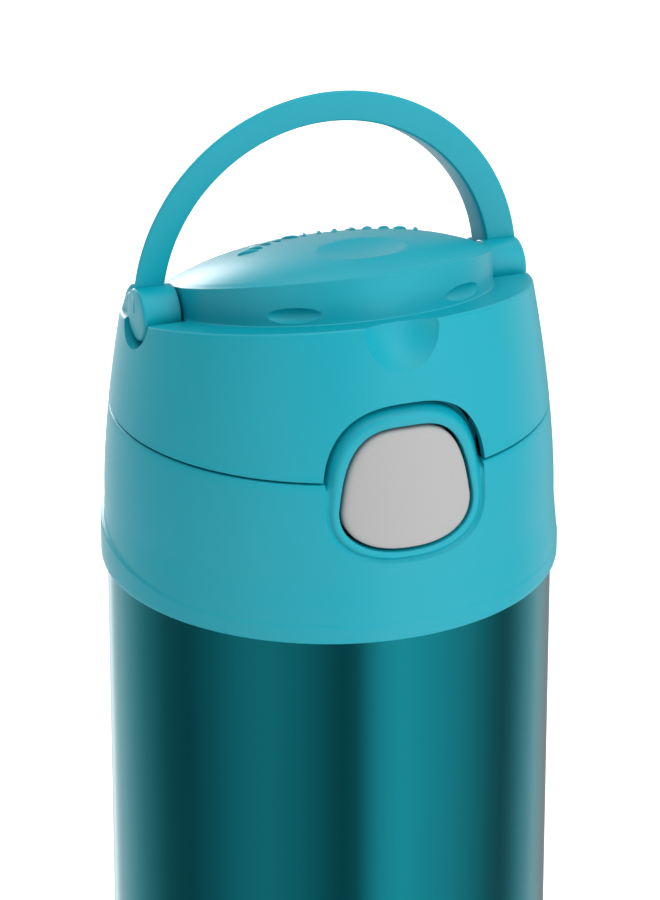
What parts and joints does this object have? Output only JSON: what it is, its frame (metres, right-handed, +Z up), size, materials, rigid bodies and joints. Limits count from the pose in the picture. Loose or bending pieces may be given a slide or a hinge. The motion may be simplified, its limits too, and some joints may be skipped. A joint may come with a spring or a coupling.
{
  "type": "insulated water bottle",
  "caption": "Vacuum-insulated steel drinking bottle with a screw-on lid, a push-button flip cover, a folding mouthpiece with straw, and a swinging carry handle.",
  "frame": {"origin": "centre of the standing face under the bottle", "axes": "+Z up along the bottle, -Y towards the push button at the front, +X to the right of someone facing along +Y"},
  "size_m": [0.07, 0.07, 0.2013],
  "materials": {
    "lacquered_steel": "glossy clear teal lacquer over drawn steel",
    "plain_steel": "electropolished stainless steel",
    "spring_steel": "drawn spring wire",
    "teal_plastic": "satin moulded polypropylene",
    "core_plastic": "satin moulded polypropylene",
    "grey_plastic": "satin moulded plastic",
    "silicone": "matte translucent silicone",
    "straw_plastic": "smooth extruded tube"
  },
  "bodies": {
    "bottle": {"outer_shell": "lacquered_steel", "inner_liner": "plain_steel", "base_plate": "plain_steel", "vacuum_seal_plug": "plain_steel", "getter_disc": "plain_steel"},
    "gasket": {"lid_gasket": "silicone"},
    "lid": {"lid_shell": "teal_plastic", "lid_core": "core_plastic", "vent_valve": "silicone", "button_spring": "spring_steel", "hinge_pin": "plain_steel", "hinge_spring": "spring_steel", "mouthpiece_base": "silicone", "straw": "straw_plastic"},
    "button": {"push_button": "grey_plastic", "latch_hook": "grey_plastic"},
    "cover": {"cover_shell": "teal_plastic", "cover_liner": "core_plastic", "sealing_pad": "silicone"},
    "handle": {"carry_handle": "teal_plastic"},
    "spout": {"mouthpiece": "silicone"}
  },
  "joints": [
    {"name": "lid_turn", "type": "hinge", "parent": "bottle", "child": "gasket", "pos_m": [0, 0, 0.128], "axis": [0, 0, 1], "range_deg": [0, 360]},
    {"name": "lid_lift", "type": "slide", "parent": "gasket", "child": "lid", "axis": [0, 0, 1], "range_m": [0, 0.0036]},
    {"name": "cover_hinge", "type": "hinge", "parent": "lid", "child": "cover", "pos_m": [0, 0.02918, 0.154], "axis": [-1, 0, 0], "range_deg": [0, 95]},
    {"name": "handle_swing", "type": "hinge", "parent": "cover", "child": "handle", "pos_m": [0, 0, 0.1706], "axis": [1, 0, 0], "range_deg": [0, 76]},
    {"name": "button_press", "type": "slide", "parent": "lid", "child": "button", "axis": [0, 1, 0], "range_m": [0, 0.002], "stiffness_N_per_m": 900, "springref_m": -0.0008, "deforming": ["button_spring"]},
    {"name": "mouthpiece_fold", "type": "hinge", "parent": "lid", "child": "spout", "pos_m": [0, 0.006, 0.1537], "axis": [-1, 0, 0], "range_deg": [0, 50]}
  ],
  "couplings": [
    {"joint": "lid_lift", "follows": "lid_turn", "m_per_rad": 0.00055704},
    {"joint": "mouthpiece_fold", "follows": "cover_hinge", "ratio": 0.52}
  ]
}
